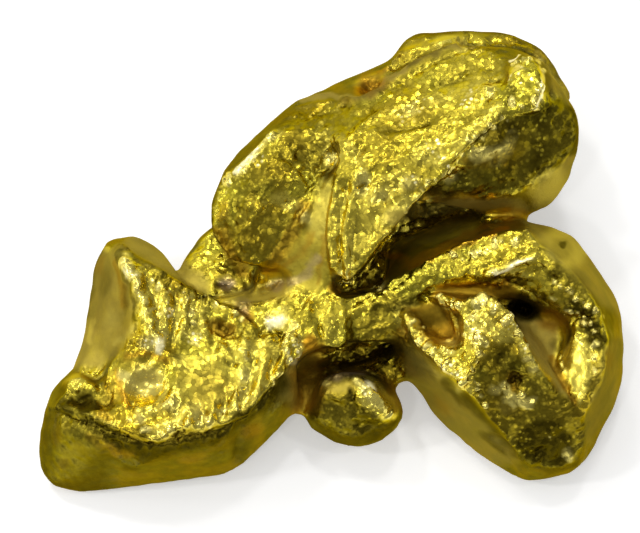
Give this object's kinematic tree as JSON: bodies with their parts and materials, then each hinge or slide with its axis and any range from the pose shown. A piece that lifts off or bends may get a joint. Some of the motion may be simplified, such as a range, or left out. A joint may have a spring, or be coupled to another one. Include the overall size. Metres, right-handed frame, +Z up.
{
  "type": "gold crystal specimen",
  "caption": "Natural cluster of intergrown gold crystals, three lobes fanning out from a low centre, with hollows, ridges and a small nub, lying flat.",
  "frame": {"origin": "middle of the specimen's box, on the table it lies on", "axes": "+X along its longest way, from the left lobe to the right lobe; +Y from the nub to the upper lobe; +Z up"},
  "size_m": [0.024, 0.0186, 0.0085],
  "materials": {
    "native_gold": "bright natural gold, hammered and sparkling on top, smooth on the flanks, orange-brown in the hollows"
  },
  "bodies": {
    "root": {"gold_crystals": "native_gold"}
  },
  "joints": []
}
